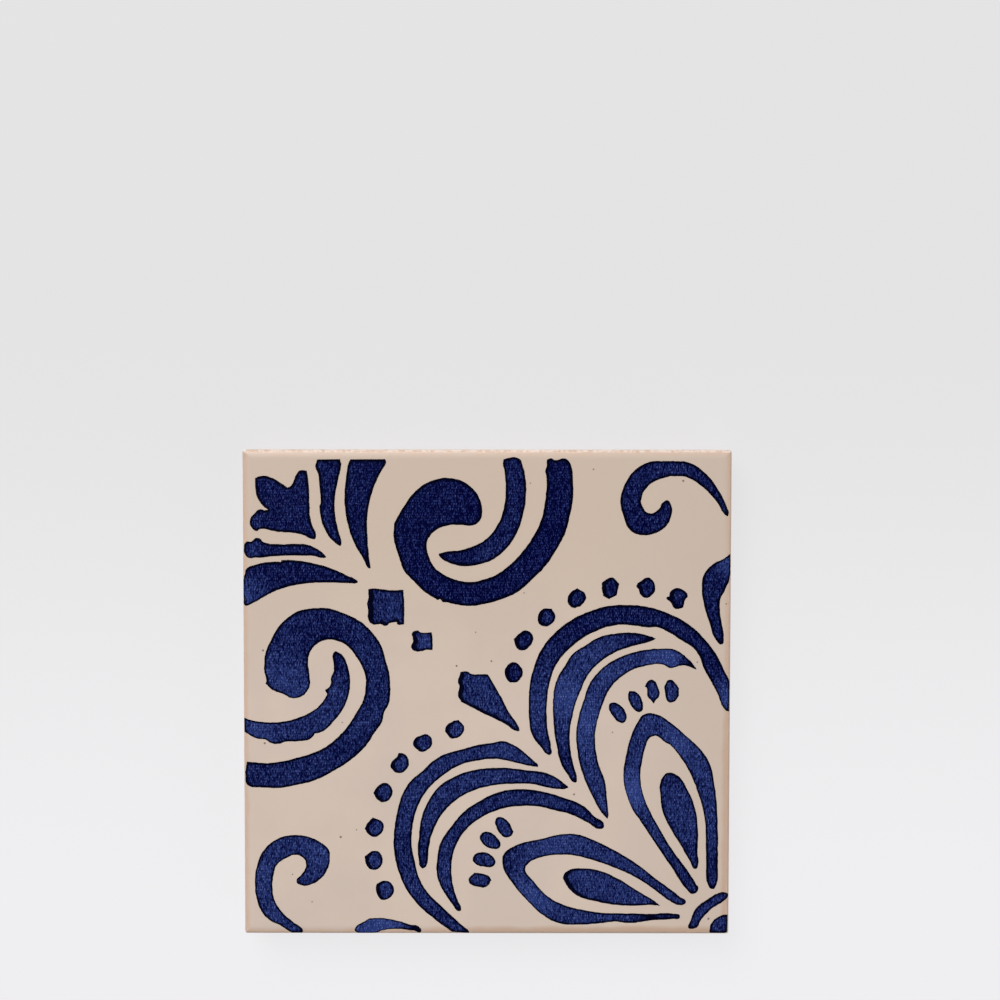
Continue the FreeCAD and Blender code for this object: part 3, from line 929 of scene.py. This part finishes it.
# painted light: the floor is paler towards the lower edge of the picture
paper_colour = far.tint(FLOOR_NEAR_PAINTED_LIT, FLOOR_FAR_PAINTED_DIM)
lit = start.node("ShaderNodeBsdfDiffuse", {}, {"Color": paper_colour})
glow = start.node("ShaderNodeEmission", {}, {"Color": paper_colour, "Strength": 1.0})
seen = start.node("ShaderNodeLightPath", output="Is Camera Ray")
surface = start.node("ShaderNodeMixShader", {}, {0: seen * GLOWING, 1: lit, 2: glow})
start.node("ShaderNodeOutputMaterial", {}, {"Surface": surface})
floor.data.materials.append(paper)
print("floor", FLOOR_SIDE, "m square")

# %% [markdown]
# ## Light
# One large soft lamp stands beyond the tile's top edge, so that this edge is the bright one. A second, weaker
# lamp and the sky fill the shadows. The sky is bright at the horizon and dim overhead, because the glaze
# mirrors what is overhead into the camera, and a bright ceiling would wash out the blue. Where the camera
# itself sees the sky, it is as pale as the floor.

# %% Set the lamps
def soft_lamp(name, where, side, watts):
    """A square lamp at this place, in metres, turned to the middle of the tile."""
    lamp = bpy.data.lights.new(name, "AREA")
    lamp.size = side
    lamp.energy = watts
    stand = bpy.data.objects.new(name, lamp)
    stand.location = where
    stand.rotation_euler = (-Vector(where)).to_track_quat("-Z", "Y").to_euler()
    bpy.context.scene.collection.objects.link(stand)


soft_lamp("key_lamp", where=(-0.8, 1.65, 2.15), side=1.8, watts=86.0)
soft_lamp("fill_lamp", where=(0.9, -0.7, 0.75), side=0.8, watts=4.0)
print("lamps:", [lamp.name for lamp in bpy.data.lights])

# %% Make the sky
HORIZON = 0.45
OVERHEAD = 0.03
DIMS_FROM, DIMS_TO = 0.35, 0.9  # upward part of the direction, where it starts to dim and is dimmest
BACKDROP = 0.82  # what the camera itself sees

sky = bpy.data.worlds.new("studio")
sky.use_nodes = True
sky.node_tree.nodes.clear()
start = Wire(sky.node_tree)
direction = start.node("ShaderNodeTexCoord", output="Generated")
upward = start.node("ShaderNodeSeparateXYZ", {}, {0: direction}, "Z")
strength = HORIZON - upward.above(DIMS_FROM, DIMS_TO) * (HORIZON - OVERHEAD)
seen = start.node("ShaderNodeLightPath", output="Is Camera Ray")
strength = strength + seen * (BACKDROP - strength)
glow = start.node("ShaderNodeBackground", {}, {"Color": (1, 1, 1, 1), "Strength": strength})
start.node("ShaderNodeOutputWorld", {}, {"Surface": glow})
bpy.context.scene.world = sky
bpy.context.scene.view_settings.view_transform = "Standard"
print("sky from", HORIZON, "at the horizon to", OVERHEAD, "overhead")

# %% [markdown]
# ## The camera
# The photograph looks at the face a little from above. With the tile on its back that becomes a camera high
# over it, leaning towards its top edge. Its distance is hard to tell from one picture. But almost nothing
# of the top side shows, so it is taken to stand near, just over the top edge. The lens then follows from
# the width of the face.

# %% Place the camera
DISTANCE = 0.45  # m from the middle of the face
LEAN = math.radians(9.465)  # of the line from the face to the camera, off the upright
AIM = math.radians(2.365)  # of the camera's own axis, off the upright
ROLL = math.radians(0.06)  # about the camera's own axis
ASIDE = 0.003701  # m to the right of the middle
LENS = 55.89  # mm
SENSOR = 36.0  # mm wide
FARTHEST = 20.0  # m that it sees

lens = bpy.data.cameras.new("camera")
lens.lens = LENS
lens.sensor_width = SENSOR
lens.clip_end = FARTHEST
camera = bpy.data.objects.new("camera", lens)
camera.location = (ASIDE, DISTANCE * math.sin(LEAN), TOP * MM + DISTANCE * math.cos(LEAN))
camera.rotation_mode = "ZYX"
camera.rotation_euler = (-AIM, 0, ROLL)
bpy.context.scene.collection.objects.link(camera)
bpy.context.scene.camera = camera
print("camera at", [round(part, 3) for part in camera.location])
